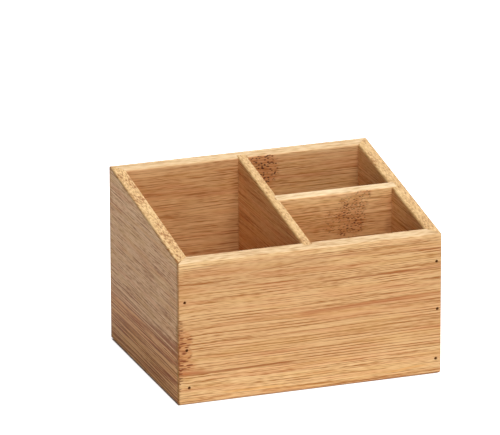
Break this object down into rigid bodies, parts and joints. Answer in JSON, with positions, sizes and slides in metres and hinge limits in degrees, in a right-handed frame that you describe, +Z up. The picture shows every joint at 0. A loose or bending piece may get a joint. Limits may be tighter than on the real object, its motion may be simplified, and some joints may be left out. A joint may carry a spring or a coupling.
{
  "type": "compartment organizer",
  "caption": "Open-topped bamboo box for a desk, its rim sloping down to the front, parted by dividers into a long compartment and short ones.",
  "frame": {"origin": "centre of the box's rectangle on the table, at the underside of the walls", "axes": "+X to the right along the front board, +Y from the front board to the back board, +Z up"},
  "size_m": [0.15, 0.115, 0.0999],
  "materials": {
    "outer_bamboo": "carbonised bamboo, edge-glued strips, sanded and clear-lacquered satin",
    "side_bamboo": "carbonised bamboo with nodes, sanded and clear-lacquered satin",
    "divider_bamboo": "thin bamboo board, sanded and clear-lacquered satin",
    "inner_bamboo": "bamboo board, sanded",
    "pin_steel": "darkened steel, heads set just below the wood"
  },
  "bodies": {
    "root": {"front_panel": "outer_bamboo", "back_panel": "outer_bamboo", "left_side": "side_bamboo", "right_side": "side_bamboo", "base_panel": "inner_bamboo", "long_divider": "divider_bamboo", "cross_divider": "divider_bamboo", "front_left_pins": "pin_steel", "front_right_pins": "pin_steel", "back_left_pins": "pin_steel", "back_right_pins": "pin_steel"}
  },
  "joints": []
}
